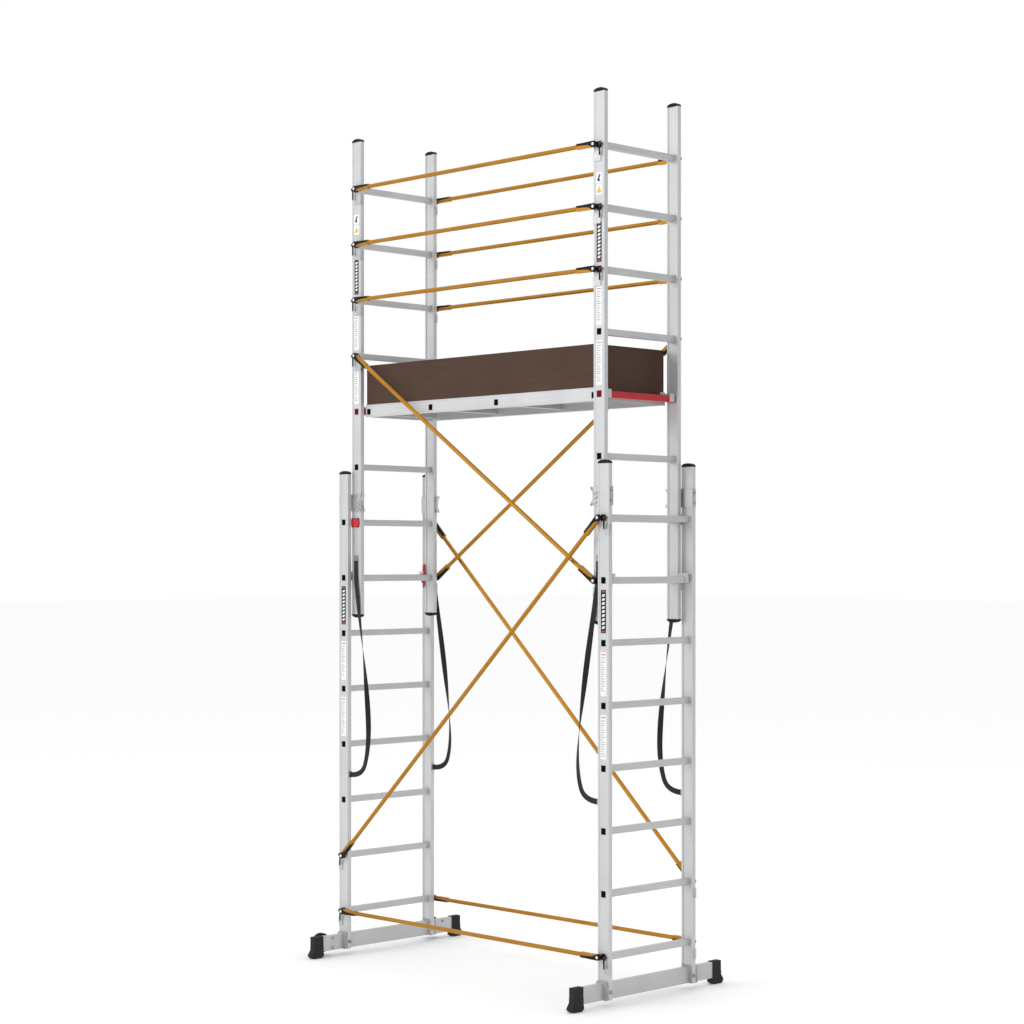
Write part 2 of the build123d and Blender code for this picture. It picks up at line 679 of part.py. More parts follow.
def lock_lever():
    """Lever whose catch lies under the lower rung."""
    half = 3.6
    rung_bottom = hook_rung_z - rung_size / 2
    top = lever_z + 42
    shape = box((lever_x - half, lever_x + half), lever_y, (top - 120, top))
    shape += box((lever_x, lever_x + 14), lever_y, (rung_bottom - 15, rung_bottom - 1.5))
    shape += box((lever_x - 10, lever_x + half), lever_y, (top - 18, top))
    return shape - rod((lever_x, lever_y[0], lever_z), (lever_x, lever_y[1], lever_z), 2.5 + slip)


def lock_knob():
    """Oval knob on the upper stile's face, with a stem through the rung's plug."""
    face = Plane(origin=(upper_x, upper_outer_y + 0.4, knob_z), z_dir=(0, 1, 0))
    head = extrude(face * Ellipse(23, 27), amount=8.6)
    rim = head.edges().sort_by(Axis.Y)[-1]
    head = fillet(rim, 2.5)
    return head + rod((upper_x, upper_outer_y - 12, knob_z), (upper_x, upper_outer_y + 1, knob_z), 5)


def upper_plug(z, side_x, side_y):
    plug = rung_plug(upper_x, upper_outer_y, z)
    if z == knob_z and side_x == side_y:
        plug -= rod((upper_x, 0, z), (upper_x, 300, z), 5 + slip)
    return at_corner(plug, side_x, side_y)


save("rung_hooks", *[at_corner(rung_hook(x != y), x, y) for x, y in corners])
save("lock_lever_left", at_corner(lock_lever(), -1, 1))
save("lock_lever_right", at_corner(lock_lever(), 1, -1))
save("lock_knob_left", at_corner(lock_knob(), -1, -1))
save("lock_knob_right", lock_knob())
save("upper_plugs", *[upper_plug(z, x, y) for z in upper_rung_z if z != red_rung_z for x, y in corners],
     *[plug for x in cross_tube_x for plug in (cross_plug(x), mirror(cross_plug(x), Plane.XZ))])

# Straps between the sections, drawn at +X +Y

strap_radius = 2.5
strap_route = [(843, 262.5, 1985), (843, 262.5, 1890), (836, 266, 1862), (816, 267, 1740),
               (770, 269, 1480), (728, 274, 1180), (730, 280, 1020), (772, 281.5, 908),
               (861.5, 281.5, 908)]
strap_bends = [60, 60, 200, 300, 300, 150, 60]


def strap():
    line = FilletPolyline(*strap_route, radius=strap_bends)
    start = Plane(origin=line @ 0, z_dir=line % 0)
    return sweep(start * Circle(strap_radius), path=line)


def upper_anchor():
    """Buckle plate on the upper stile's outer face."""
    floor_y = upper_outer_y - recess_depth
    plate = box((829, 857), (floor_y, upper_outer_y + 3), (1985.5, 2012))
    return plate + rod((843, floor_y, 2000), (843, upper_outer_y + 5, 2000), 5)


def lower_anchor():
    """Clamp plate on the lower stile's inner edge."""
    edge = ladder_x - half_depth
    plate = box((edge - 7, edge), (272, 291), (892, 924))
    return plate + rod((edge - 9, 286, 917), (edge - 7, 286, 917), 3.5)


for side_x, side_y in corners:
    save("strap_" + side_name(side_x, side_y), at_corner(strap(), side_x, side_y))
save("upper_strap_anchors", *at_all_corners(upper_anchor()))
save("lower_strap_anchors", *at_all_corners(lower_anchor()))
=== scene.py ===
import math
import bpy
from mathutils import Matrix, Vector


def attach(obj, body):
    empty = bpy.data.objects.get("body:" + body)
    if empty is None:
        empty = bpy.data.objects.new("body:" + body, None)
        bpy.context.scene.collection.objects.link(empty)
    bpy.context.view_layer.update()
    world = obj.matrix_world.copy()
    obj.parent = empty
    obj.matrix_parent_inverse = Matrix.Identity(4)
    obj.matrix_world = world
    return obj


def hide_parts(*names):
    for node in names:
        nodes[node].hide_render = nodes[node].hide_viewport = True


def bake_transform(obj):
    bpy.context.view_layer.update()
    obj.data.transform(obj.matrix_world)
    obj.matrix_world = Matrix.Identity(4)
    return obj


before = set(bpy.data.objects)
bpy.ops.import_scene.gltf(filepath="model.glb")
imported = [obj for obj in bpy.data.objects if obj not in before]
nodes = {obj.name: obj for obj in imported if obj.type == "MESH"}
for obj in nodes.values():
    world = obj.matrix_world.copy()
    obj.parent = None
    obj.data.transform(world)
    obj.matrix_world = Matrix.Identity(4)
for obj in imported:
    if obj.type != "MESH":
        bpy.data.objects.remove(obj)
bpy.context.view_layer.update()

# Straps: flat polyester webbing, one at each corner, sewn round a plate on the upper stile
# and clamped to the lower stile's inner edge. Each one hangs in a long bow and turns over once.

strap_width = 0.026
strap_thickness = 0.0016
flat_share = 0.14
turning_share = 0.8
strap_route = [(0.843, 0.2625, 1.985), (0.843, 0.2625, 1.890), (0.836, 0.266, 1.862),
               (0.816, 0.267, 1.740), (0.770, 0.269, 1.480), (0.728, 0.274, 1.180),
               (0.730, 0.280, 1.020), (0.772, 0.2815, 0.908), (0.8615, 0.2815, 0.908)]


class Socket:
    """A node's output that can be used in plain sums."""

    def __init__(self, finish, output):
        self.finish = finish
        self.output = output

    def sum_with(self, operation, first, second):
        return self.finish.node("ShaderNodeMath", {0: first, 1: second}, operation=operation)

    def __add__(self, other):
        return self.sum_with("ADD", self, other)

    def __radd__(self, other):
        return self.sum_with("ADD", other, self)

    def __sub__(self, other):
        return self.sum_with("SUBTRACT", self, other)

    def __rsub__(self, other):
        return self.sum_with("SUBTRACT", other, self)

    def __mul__(self, other):
        return self.sum_with("MULTIPLY", self, other)

    def __rmul__(self, other):
        return self.sum_with("MULTIPLY", other, self)


class Finish:
    """A material on one shader; node() adds any other node to it."""

    def __init__(self, name, roughness=0.5, metallic=0.0, **settings):
        self.material = bpy.data.materials.new(name)
        self.material.use_nodes = True
        self.tree = self.material.node_tree
        self.shader = self.tree.nodes["Principled BSDF"]
        self.shader.inputs["Roughness"].default_value = roughness
        self.shader.inputs["Metallic"].default_value = metallic
        for socket, value in settings.items():
            self.shader.inputs[socket.replace("_", " ")].default_value = value
        self.place = self.node("ShaderNodeTexCoord", output="Object")

    def plug(self, socket, value):
        if isinstance(value, Socket):
            self.tree.links.new(value.output, socket)
        else:
            socket.default_value = value

    def node(self, kind, inputs=None, output=0, **settings):
        made = self.tree.nodes.new(kind)
        stops = settings.pop("stops", None)
        for name, value in settings.items():
            setattr(made, name, value)
        if stops:
            ramp = made.color_ramp.elements
            while len(ramp) < len(stops):
                ramp.new(0.5)
            for element, (position, colour) in zip(ramp, stops):
                element.position = position
                element.color = (*colour, 1)
        for name, value in (inputs or {}).items():
            self.plug(made.inputs[name], value)
        return Socket(self, made.outputs[output])

    def stretched(self, scale, turn=(0, 0, 0)):
        return self.node("ShaderNodeMapping", {"Vector": self.place, "Scale": scale,
                                               "Rotation": turn})

    def noise(self, scale=(1, 1, 1), size=20, detail=4, roughness=0.55):
        return self.node("ShaderNodeTexNoise", {"Vector": self.stretched(scale), "Scale": size,
                                                "Detail": detail, "Roughness": roughness})

    def colours(self, amount, *stops):
        return self.node("ShaderNodeValToRGB", {"Fac": amount}, stops=stops)

    def set(self, **values):
        for socket, value in values.items():
            self.plug(self.shader.inputs[socket.replace("_", " ")], value)

    def bump(self, height, distance, strength=0.5):
        self.set(Normal=self.node("ShaderNodeBump", {"Height": height, "Distance": distance,
                                                     "Strength": strength}))


def give(name, finish):
    """Put a finish on a CAD node or a new piece."""
    piece = nodes.get(name) or bpy.data.objects[name]
    piece.data.materials.clear()
    piece.data.materials.append(finish.material)


def webbing_finish():
    """Twill webbing: fine ribs along the strap, cut by the weft, from the strap's own UV map."""
    finish = Finish("black_webbing", roughness=0.85, Sheen_Weight=0.08, Specular_IOR_Level=0.15)
    along = finish.node("ShaderNodeUVMap")
    warp = finish.node("ShaderNodeTexWave", {"Vector": along, "Scale": 9.0, "Distortion": 0.4},
                       bands_direction="X", wave_type="BANDS", output="Fac")
    weft = finish.node("ShaderNodeTexWave", {"Vector": along, "Scale": 14.0, "Distortion": 0.6},
                       bands_direction="DIAGONAL", wave_type="BANDS", output="Fac")
    weave = warp * 0.6 + weft * 0.4
    finish.set(Base_Color=finish.colours(weave, (0.15, (0.010, 0.010, 0.011)),
                                         (0.9, (0.034, 0.034, 0.036))))
    finish.bump(weave, 0.0006, 0.6)
    return finish


def route_points(name, points):
    """The smooth line that a strap hangs in, as points along it."""
    curve = bpy.data.curves.new(name + "_line", "CURVE")
    curve.dimensions = "3D"
    curve.resolution_u = 12
    spline = curve.splines.new("NURBS")
    spline.points.add(len(points) - 1)
    for control, point in zip(spline.points, points):
        control.co = (*point, 1)
    spline.order_u = 3
    spline.use_endpoint_u = True
    line = bpy.data.objects.new(name + "_line", curve)
    bpy.context.collection.objects.link(line)
    mesh = bpy.data.meshes.new_from_object(line)
    found = [vertex.co.copy() for vertex in mesh.vertices]
    bpy.data.objects.remove(line)
    return found


def flat_strap(name, points, turn_sign):
    """Flat webbing along the points: flat on the stile above, turned over once on the way down."""
    steps = [0.0]
    for before, after in zip(points, points[1:]):
        steps.append(steps[-1] + (after - before).length)
    length = steps[-1]
    across = 4
    vertices, faces, marks = [], [], []
    for index, point in enumerate(points):
        ahead = points[min(index + 1, len(points) - 1)] - points[max(index - 1, 0)]
        level = Vector((0, 1, 0)).cross(ahead).normalized()
        share = min(max((steps[index] / length - flat_share) / turning_share, 0), 1)
        angle = turn_sign * math.pi * share * share * (3 - 2 * share)
        side = level * math.cos(angle) + ahead.normalized().cross(level) * math.sin(angle)
        for column in range(across + 1):
            offset = (column / across - 0.5) * strap_width
            vertices.append(point + side * offset)
            marks.append((column / across, steps[index] / strap_width))
    for row in range(len(points) - 1):
        for column in range(across):
            corner = row * (across + 1) + column
            faces.append((corner, corner + 1, corner + across + 2, corner + across + 1))
    mesh = bpy.data.meshes.new(name)
    mesh.from_pydata(vertices, [], faces)
    layer = mesh.uv_layers.new(name="UVMap")
    for loop in mesh.loops:
        layer.data[loop.index].uv = marks[loop.vertex_index]
    strap = bpy.data.objects.new(name, mesh)
    bpy.context.collection.objects.link(strap)
    bpy.ops.object.select_all(action="DESELECT")
    bpy.context.view_layer.objects.active = strap
    strap.select_set(True)
    modifier = strap.modifiers.new("thickness", "SOLIDIFY")
    modifier.thickness = strap_thickness
    modifier.offset = 0
    bpy.ops.object.modifier_apply(modifier=modifier.name)
    bpy.ops.object.shade_smooth_by_angle(angle=math.radians(40))
    return strap, length


webbing = webbing_finish()
for ladder, side_x in (("left", -1), ("right", 1)):
    for side, side_y in (("near", -1), ("far", 1)):
        name = f"webbing_{ladder}_{side}"
        route = [(x * side_x, y * side_y, z) for x, y, z in strap_route]
        points = route_points(name, route)
        strap, strap_length = flat_strap(name, points, side_x * side_y)
        give(name, webbing)
        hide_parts(f"strap_{ladder}_{side}")
        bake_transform(strap)

# Stiles, rungs, stabiliser bars, platform rails, cross tubes and hooks: extruded aluminium, mill
# finish, with fine die lines and a light bloom. The lines run along Z on the stiles, along X on
# the rails and along Y on the rest.


def extruded_aluminium(name, grain, shade=1.0):
    """Mill-finish extrusion; grain stretches its die lines along X, Y and Z; shade darkens it as
    painted shade.
    """
    finish = Finish(name, roughness=0.42, metallic=0.35)
    lines = finish.noise(grain, size=1.0, detail=6, roughness=0.7)
    bloom = finish.noise(size=5, detail=5)
    scratch = finish.noise(tuple(3.5 * g for g in grain), size=1.0, detail=2)
    tone = lines * 0.55 + bloom * 0.45
    # A shade below 1 darkens both colours of the ramp, as painted shade.
    low = tuple(shade * c for c in (0.50, 0.505, 0.515))
    high = tuple(shade * c for c in (0.62, 0.625, 0.63))
    finish.set(Base_Color=finish.colours(tone, (0.32, low), (0.68, high)),
               Roughness=0.36 + lines * 0.14 + bloom * 0.08)
    finish.bump(lines * 0.7 + scratch * 0.3, 0.0003, 0.25)
    return finish


along_z = extruded_aluminium("aluminium_upright", (420, 420, 1.6))
# The parts that run along Y, their faces mostly turned to +X and away from the lights, get colours
# 7% darker: painted shade.
along_y_with_painted_shade = extruded_aluminium("aluminium_rung_painted_shade", (420, 1.6, 420), 0.93)
along_x = extruded_aluminium("aluminium_rail", (1.6, 420, 420))
for section in ("lower", "upper"):
    for place in ("left_near", "left_far", "right_near", "right_far"):
        give(f"{section}_stile_{place}", along_z)
    for ladder in ("left", "right"):
        give(f"{section}_rungs_{ladder}", along_y_with_painted_shade)
for ladder in ("left", "right"):
    give(f"stabiliser_bar_{ladder}", along_y_with_painted_shade)
give("platform_rails", along_x)
for name in ("platform_cross_tubes", "platform_hooks", "rung_hooks", "wheel_brackets"):
    give(name, along_y_with_painted_shade)

# Guide brackets, tabs, plates, hinges and bolts: bent sheet and hardware, zinc plated, with the
# soft mottle that zinc has. The brace pins are polished rivets and dark studs.


def plated_steel(name, low, high, roughness):
    finish = Finish(name, roughness=roughness, metallic=0.85)
    spangle = finish.node("ShaderNodeTexVoronoi", {"Vector": finish.place, "Scale": 260.0},
                          output="Distance")
    cloud = finish.noise(size=30, detail=5)
    tone = spangle * 0.35 + cloud * 0.65
    finish.set(Base_Color=finish.colours(tone, (0.25, low), (0.7, high)),
               Roughness=roughness - 0.06 + cloud * 0.14)
    finish.bump(cloud, 0.0004, 0.2)
    return finish


bright_zinc = plated_steel("bright_zinc", (0.40, 0.405, 0.41), (0.56, 0.565, 0.57), 0.38)
dull_zinc = plated_steel("dull_zinc", (0.24, 0.24, 0.245), (0.42, 0.42, 0.43), 0.42)


def rivets_and_studs(name, split_x):
    """Bright rivets, and dark studs further out than split_x."""
    finish = Finish(name, roughness=0.16, metallic=1.0)
    sides = finish.node("ShaderNodeSeparateXYZ", {"Vector": finish.place}, output="X")
    outward = finish.node("ShaderNodeMath", {0: sides}, operation="ABSOLUTE")
    is_stud = finish.node("ShaderNodeMath", {0: outward, 1: split_x}, operation="GREATER_THAN")
    wear = finish.noise(size=90, detail=3)
    colour = finish.colours(is_stud, (0.4, (0.86, 0.86, 0.87)), (0.6, (0.075, 0.055, 0.038)))
    finish.set(Base_Color=colour, Roughness=is_stud * 0.25 + wear * 0.10 + 0.10)
    return finish


for name in ("guide_brackets", "lower_brace_brackets", "upper_brace_brackets"):
    give(name, bright_zinc)
for name in ("lower_bolts", "hatch_hinges", "upper_strap_anchors", "lower_strap_anchors"):
    give(name, dull_zinc)
give("lower_brace_pins", rivets_and_studs("lower_pins", 0.906))
give("upper_brace_pins", rivets_and_studs("upper_pins", 0.847))

# Braces and guard rails: drawn aluminium tube, anodised ochre, with draw lines along X, the way
# the level tubes run, and slightly darker patches where the dye took unevenly.


def ochre_anodised(name):
    finish = Finish(name, roughness=0.34, metallic=0.7, Specular_IOR_Level=0.25)
    lines = finish.noise((2, 300, 300), size=1.0, detail=5)
    dye = finish.noise((1, 1, 1), size=7, detail=4)
    finish.set(Base_Color=finish.colours(lines * 0.4 + dye * 0.6, (0.30, (0.36, 0.155, 0.010)),
                                         (0.70, (0.48, 0.218, 0.017))),
               Roughness=0.27 + lines * 0.16)
    finish.bump(lines, 0.0002, 0.2)
    return finish


ochre = ochre_anodised("ochre_anodised")
for name in ("lower_diagonals", "lower_horizontals", "upper_diagonals", "guard_rails_near",
             "guard_rails_far"):
    give(name, ochre)

# Plastic and rubber pieces: plugs, caps, latch bodies and claws are black moulded polyamide with
# a fine even grain; foot caps and tyres are rubber; hubs are grey polyamide and the saddles mid
# grey; levers, knobs and the red rungs' plugs are red.


def moulded(name, colour, roughness=0.5, grain=900, depth=0.00025, coat=0.0, gloss=0.2):
    """Moulded plastic or rubber with a fine even grain and faint flow marks."""
    finish = Finish(name, roughness=roughness, Coat_Weight=coat, Specular_IOR_Level=gloss)
    grit = finish.noise(size=grain, detail=2)
    flow = finish.noise((1, 1, 0.4), size=18, detail=3)
    dark = tuple(0.72 * c for c in colour)
    light = tuple(min(1.25 * c, 1) for c in colour)
    finish.set(Base_Color=finish.colours(flow * 0.7 + grit * 0.3, (0.3, dark), (0.7, light)),
               Roughness=roughness - 0.08 + flow * 0.16)
    finish.bump(grit, depth, 0.35)
    return finish


black_plastic = moulded("black_polyamide", (0.009, 0.009, 0.0095), 0.42, gloss=0.12)
plug_plastic = moulded("black_plug_polyamide", (0.002, 0.002, 0.002), 0.55, gloss=0.03)
rubber = moulded("foot_rubber", (0.024, 0.024, 0.026), 0.78, 500, 0.0005)
tyre_rubber = moulded("tyre_rubber", (0.014, 0.014, 0.015), 0.7, 400, 0.0005)
# Saddles: mid grey, darker than the aluminium beside them.
saddle_grey = moulded("saddle_mid_grey", (0.36, 0.36, 0.37), 0.5)
hub_grey = moulded("hub_polyamide", (0.42, 0.42, 0.43), 0.45)
red_plastic = moulded("red_polyamide", (0.50, 0.022, 0.028), 0.34, coat=0.2)
dark_red = moulded("dark_red_polyamide", (0.15, 0.001, 0.004), 0.4, gloss=0.08)
for name in ("lower_rung_plugs", "upper_plugs"):
    give(name, plug_plastic)
for name in ("lower_latch_bodies", "upper_latch_bodies", "lower_brace_claws",
             "upper_brace_claws"):
    give(name, black_plastic)
give("foot_caps", rubber)
give("stabiliser_saddles", saddle_grey)
give("red_rung_plugs", dark_red)
for side in ("near", "far"):
    give(f"wheel_tyre_{side}", tyre_rubber)
    give(f"wheel_hub_{side}", hub_grey)
for ladder in ("left", "right"):
    give(f"lock_lever_{ladder}", red_plastic)
    give(f"lock_knob_{ladder}", red_plastic)

# Latch shells: black moulded teardrops over the latches of all 24 brace ends, round at the rivet
# and narrow towards the tube, pressed on the latch body.

rail_levels = (3.857, 3.577, 3.297)
brace_rows = [("lower", 0.4995, 2.1795, -1, (-1, 1)), ("lower", 2.1795, 0.4995, 1, (1, -1)),
              ("upper", 3.017, 1.897, -1, (-1, -1)), ("upper", 1.897, 3.017, 1, (-1, -1))]
brace_rows += [("lower", 0.2195, 0.2195, side_y, (-1, -1)) for side_y in (-1, 1)]
brace_rows += [("upper", level, level, side_y, (1, 1))
               for level in rail_levels for side_y in (-1, 1)]
brace_place = {"lower": (0.891, 0.293), "upper": (0.8317, 0.2585)}
nose_radius = 0.0148
shell_span = (0.0140, 0.0280)
shell_outline = [(nose_radius * math.cos(math.radians(angle)),
                  nose_radius * math.sin(math.radians(angle))) for angle in range(-120, 91, 10)]
shell_outline += [(-0.030, 0.0146), (-0.070, 0.0132), (-0.090, 0.0112), (-0.098, 0.0088),
                  (-0.1005, 0.0060), (-0.098, 0.0036), (-0.090, 0.0020), (-0.060, 0.0004),
                  (-0.034, -0.0016), (-0.022, -0.0060)]


def outlined_solid(points, place, low, high, rounding):
    """Solid between low and high with the given outline; place turns (u, v, w) into the world."""
    bpy.ops.object.select_all(action="DESELECT")
    bpy.ops.mesh.primitive_circle_add(vertices=len(points), fill_type="NGON")
    solid = bpy.context.object
    for vertex, (u, v) in zip(solid.data.vertices, points):
        vertex.co = (u, v, low)
    bpy.ops.object.mode_set(mode="EDIT")
    bpy.ops.mesh.select_all(action="SELECT")
    bpy.ops.mesh.extrude_region_move(TRANSFORM_OT_translate={"value": (0, 0, high - low)})
    bpy.ops.mesh.select_all(action="SELECT")
    bpy.ops.mesh.normals_make_consistent(inside=False)
    bpy.ops.object.mode_set(mode="OBJECT")
    modifier = solid.modifiers.new("rounding", "BEVEL")
    modifier.width = rounding
    modifier.segments = 3
    modifier.angle_limit = math.radians(50)
    bpy.ops.object.modifier_apply(modifier=modifier.name)
    for vertex in solid.data.vertices:
        vertex.co = place(*vertex.co)
    bpy.ops.object.mode_set(mode="EDIT")
    bpy.ops.mesh.select_all(action="SELECT")
    bpy.ops.mesh.normals_make_consistent(inside=False)
    bpy.ops.object.mode_set(mode="OBJECT")
    bpy.ops.object.shade_smooth_by_angle(angle=math.radians(40))
    return solid


def joined(name, parts):
    """Several meshes as one object called name."""
    bpy.ops.object.select_all(action="DESELECT")
    for part in parts:
        part.select_set(True)
    bpy.context.view_layer.objects.active = parts[0]
    bpy.ops.object.join()
    whole = bpy.context.object
    whole.name = name
    whole.data.name = name
    return whole


def brace_end(section, left_z, right_z, side_y, strips, side_x):
    """Turns a place along, across and off a brace's end into the world."""
    rivet_x, face_y = brace_place[section]
    slope = math.atan2(right_z - left_z, 2 * rivet_x)
    along = Vector((math.cos(slope), 0, math.sin(slope))) * side_x
    across = Vector((-math.sin(slope), 0, math.cos(slope)))
    across *= strips[0 if side_x < 0 else 1]
    rivet = Vector((side_x * rivet_x, side_y * face_y, left_z if side_x < 0 else right_z))
    return lambda u, v, w: rivet + along * u + across * v + Vector((0, side_y, 0)) * w


shells = {"lower": [], "upper": []}
for row in brace_rows:
    for side_x in (-1, 1):
        shells[row[0]].append(outlined_solid(shell_outline, brace_end(*row, side_x), *shell_span,
                                             0.0022))

for section, parts in shells.items():
    whole = joined(f"latch_shells_{section}", parts)
    give(whole.name, black_plastic)
    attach(whole, f"{section}_section")

# Stile caps: black moulded caps with an arched top, pushed into the stiles' open ends. The upper
# stiles have one at the top and one, upside down, at the bottom.

cap_half = 0.0352
rim_height = 0.0042
arch_rise = 0.0128
cap_outline = [(cap_half, 0.0), (cap_half, rim_height)]
cap_outline += [(0.034 * math.cos(math.radians(angle)),
                 rim_height + arch_rise * math.sin(math.radians(angle)))
                for angle in range(12, 169, 12)]
cap_outline += [(-cap_half, rim_height), (-cap_half, 0.0)]
cap_rows = {"lower_stile_caps": ((0.903, 0.2815, 2.422, 1),),
            "upper_stile_caps": ((0.8437, 0.247, 4.096, 1), (0.8437, 0.247, 1.716, -1))}
caps = {name: [] for name in cap_rows}
for name, rows in cap_rows.items():
    for x, y, z, way in rows:
        for side_x in (-1, 1):
            for side_y in (-1, 1):
                place = (lambda u, v, w, at=Vector((x * side_x, y * side_y, z)), way=way:
                         at + Vector((u, w, v * way)))
                caps[name].append(outlined_solid(cap_outline, place, -0.0122, 0.0122, 0.0018))

for name, parts in caps.items():
    whole = joined("arched_" + name, parts)
    give(whole.name, black_plastic)
    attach(whole, name[:5] + "_section")
    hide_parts(name)

# Guide ribs: raised ribs pressed into the guide brackets, slanted on the sheet over the upper
# stile and level on the sheet over the lower stile's outer edge.

slanted_rib = [(-0.026, 0.0055), (0.026, -0.0165), (0.026, -0.0225), (-0.026, -0.0005)]
level_rib = [(-0.009, 0.003), (0.009, 0.003), (0.009, -0.003), (-0.009, -0.003)]
ribs = []
for side_x in (-1, 1):
    for side_y in (-1, 1):
        for height in (2.262, 2.284, 2.306):
            ribs.append(outlined_solid(
                slanted_rib, lambda u, v, w, sx=side_x, sy=side_y, z=height: Vector(
                    ((0.839 - u) * sx, (0.262 + w) * sy, z + v)), -0.0006, 0.0050, 0.0016))
        for height in (2.247, 2.267, 2.288, 2.309):
            ribs.append(outlined_solid(
                level_rib, lambda u, v, w, sx=side_x, sy=side_y, z=height: Vector(
                    ((0.940 + w) * sx, (0.2795 + u) * sy, z + v)), -0.0006, 0.0018, 0.0009))
guide_ribs = joined("guide_ribs", ribs)
give("guide_ribs", bright_zinc)
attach(guide_ribs, "lower_section")

# Lock pieces: a dark red base under each red knob, flat on the upper stile, and a moulded grip
# round each red lever, thick at its pivot.

base_outline = [(-0.034, -0.023), (0.021, -0.023), (0.021, 0.023), (-0.034, 0.023)]
grip_outline = [(0.8868, 1.846), (0.8868, 1.915), (0.8895, 1.922), (0.8895, 1.936),
                (0.8868, 1.966), (0.8765, 1.967), (0.8745, 1.952), (0.8700, 1.942),
                (0.8695, 1.921), (0.8765, 1.905), (0.8770, 1.862), (0.8795, 1.845)]
for ladder, side_x in (("left", -1), ("right", 1)):
    base = outlined_solid(base_outline, lambda u, v, w, sx=side_x: Vector(
        ((0.8437 - u) * sx, (0.2585 + w) * sx, 2.177 + v)), 0.0, 0.0036, 0.0012)
    grip = outlined_solid(grip_outline, lambda u, v, w, sx=side_x: Vector((u * sx, -w * sx, v)),
                          0.2274, 0.2346, 0.0012)
    for piece, name, body in ((base, f"knob_base_{ladder}", "upper_section"),
                              (grip, f"lever_grip_{ladder}", f"lever_{ladder}")):
        piece.name = name
        give(name, dark_red if piece is base else red_plastic)
        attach(piece, body)

# Rail beads: the two beads that the platform rails' extrusion carries along its outer face, as
# long as the rail.

beads = []
for side_y in (-1, 1):
    for height in (2.7150, 2.7655):
        beads.append(outlined_solid(
            [(-0.799, -0.0016), (0.799, -0.0016), (0.799, 0.0016), (-0.799, 0.0016)],
            lambda u, v, w, sy=side_y, z=height: Vector((u, (0.2315 + w) * sy, z + v)),
            -0.0004, 0.0011, 0.0006))
rail_beads = joined("rail_beads", beads)
give("rail_beads", along_x)
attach(rail_beads, "upper_section")

# Foot treads: cross ribs moulded under the rubber shoes, for grip. They follow the sole, and
# turn up with it at both rounded ends.

tread_rib = [(-0.0165, -0.0022), (0.0165, -0.0022), (0.0165, 0.0022), (-0.0165, 0.0022)]
treads = []
sole_arc = ((0.4365, 0.0165, 68), (0.4405, 0.0085, 52), (0.4480, 0.0035, 28),
            (0.4965, 0.0030, -25), (0.5040, 0.0080, -45), (0.5095, 0.0145, -52))
for side_x in (-1, 1):
    for side_y in (-1, 1):
        for y, z, tilt in sole_arc:
            lean = math.radians(tilt)
            treads.append(outlined_solid(
                tread_rib, lambda u, v, w, sx=side_x, sy=side_y, y=y, z=z, lean=lean: Vector(
                    (0.903 * sx + u, (y + v * math.cos(lean) - w * math.sin(lean)) * sy,
                     z - v * math.sin(lean) - w * math.cos(lean))), -0.0015, 0.0014, 0.0006))
foot_treads = joined("foot_treads", treads)
give("foot_treads", rubber)
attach(foot_treads, "lower_section")

# Red rungs: the rung of each ladder that the platform hangs on, in red powder coat over the
# aluminium, with a fine orange peel.


def powder_coat(name, colour):
    finish = Finish(name, roughness=0.4, Specular_IOR_Level=0.3)
    peel = finish.noise(size=320, detail=2)
    finish.set(Base_Color=finish.colours(peel, (0.3, tuple(0.85 * c for c in colour)),
                                         (0.7, colour)))
    finish.bump(peel, 0.0004, 0.3)
    return finish


give("red_rungs", powder_coat("red_powder_coat", (0.46, 0.020, 0.026)))

# Deck and toe boards: birch plywood with a dark brown phenolic film, cloudy in tone, pressed
# with a fine mesh that is much fainter on the toe boards.


def filmed_board(name, dark, light, mesh_depth):
    finish = Finish(name, roughness=0.5, Specular_IOR_Level=0.10)
    grain = finish.noise((3, 60, 60), size=1.0, detail=6, roughness=0.65)
    cloud = finish.noise(size=3.5, detail=4)
    weave_x = finish.node("ShaderNodeTexWave", {"Vector": finish.place, "Scale": 60.0},
                          bands_direction="X", output="Fac")
    weave_y = finish.node("ShaderNodeTexWave", {"Vector": finish.place, "Scale": 60.0},
                          bands_direction="Y", output="Fac")
    finish.set(Base_Color=finish.colours(grain * 0.5 + cloud * 0.5, (0.3, dark), (0.7, light)),
               Roughness=0.40 + cloud * 0.2)
    finish.bump(grain * 0.4 + weave_x * weave_y * 0.6, mesh_depth, 0.4)
    return finish


toe_board_film = filmed_board("toe_board_film", (0.060, 0.034, 0.023), (0.086, 0.051, 0.036),
                              0.0002)
deck_film = filmed_board("deck_film", (0.050, 0.030, 0.022), (0.085, 0.055, 0.040), 0.0008)
give("toe_boards", toe_board_film)
for name in ("deck_panel", "deck_hatch"):
    give(name, deck_film)

# Labels: thin vinyl stickers in the near stiles' outer recess: a dark one with pale slanted bars,
# pale ones with a header and rows of grey bars, and on the upper stiles two small ones, with a
# black mark and with a yellow triangle. They carry no lettering.


def flat_plate(x, z, width, height, y, thickness=0.0003, corner=0.0):
    """Thin plate facing -Y, its back at y, with its corners rounded."""
    bpy.ops.object.select_all(action="DESELECT")
    bpy.ops.mesh.primitive_plane_add(size=1, rotation=(math.pi / 2, 0, 0))
    plate = bpy.context.object
    plate.scale = (width, height, 1)
    bpy.ops.object.transform_apply(location=False, rotation=True, scale=True)
    bpy.ops.object.mode_set(mode="EDIT")
    bpy.ops.mesh.select_all(action="SELECT")
    if corner:
        bpy.ops.mesh.bevel(offset=corner, segments=4, affect="VERTICES")
    bpy.ops.mesh.extrude_region_move(TRANSFORM_OT_translate={"value": (0, -thickness, 0)})
    bpy.ops.mesh.select_all(action="SELECT")
    bpy.ops.mesh.normals_make_consistent(inside=False)
    bpy.ops.object.mode_set(mode="OBJECT")
    plate.location = (x, y, z)
    bpy.ops.object.transform_apply(location=True, rotation=False, scale=False)
    return plate


